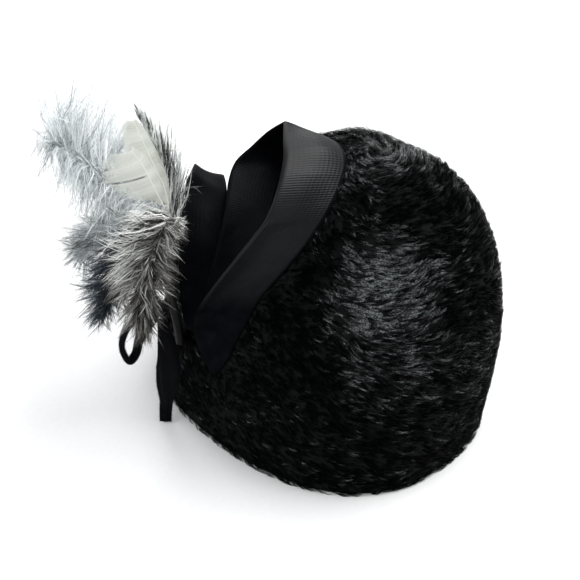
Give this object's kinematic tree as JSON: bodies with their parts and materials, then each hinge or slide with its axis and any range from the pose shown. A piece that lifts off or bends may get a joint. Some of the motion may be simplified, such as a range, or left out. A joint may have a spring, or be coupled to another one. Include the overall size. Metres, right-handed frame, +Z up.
{
  "type": "feathered felt hat",
  "caption": "Close-fitting rounded hat of long-napped black fur felt, trimmed at the front left with black grosgrain ribbon loops, pale and dark feathers and a velvet tie.",
  "frame": {"origin": "middle of the whole hat's box, on the plane that the rim rests on", "axes": "+Z up, the wearer faces -Y and their left hand is at +X; the trims sit at the front left"},
  "size_m": [0.206, 0.2308, 0.2008],
  "materials": {
    "fur_felt": "long brushed glossy nap",
    "grosgrain": "ribbed, soft sheen",
    "goose_feather": "smooth matte vane",
    "marabou_cream": "fluffy",
    "marabou_pale": "fluffy",
    "marabou_grey": "fluffy",
    "marabou_navy": "fluffy",
    "hackle": "glossy, spiky barbs",
    "velvet": "deep pile",
    "binding_thread": "wound thread, matte"
  },
  "bodies": {
    "root": {"crown": "fur_felt", "loop_front": "grosgrain", "loop_side": "grosgrain", "quill_stalk": "binding_thread", "goose_front": "goose_feather", "goose_back": "goose_feather", "hackle_dark": "hackle", "plume_front": "marabou_cream", "plume_top": "marabou_pale", "plume_mid": "marabou_grey", "plume_low": "marabou_navy", "tie_knot": "velvet", "tie_loop": "velvet", "tie_fall": "velvet"}
  },
  "joints": []
}
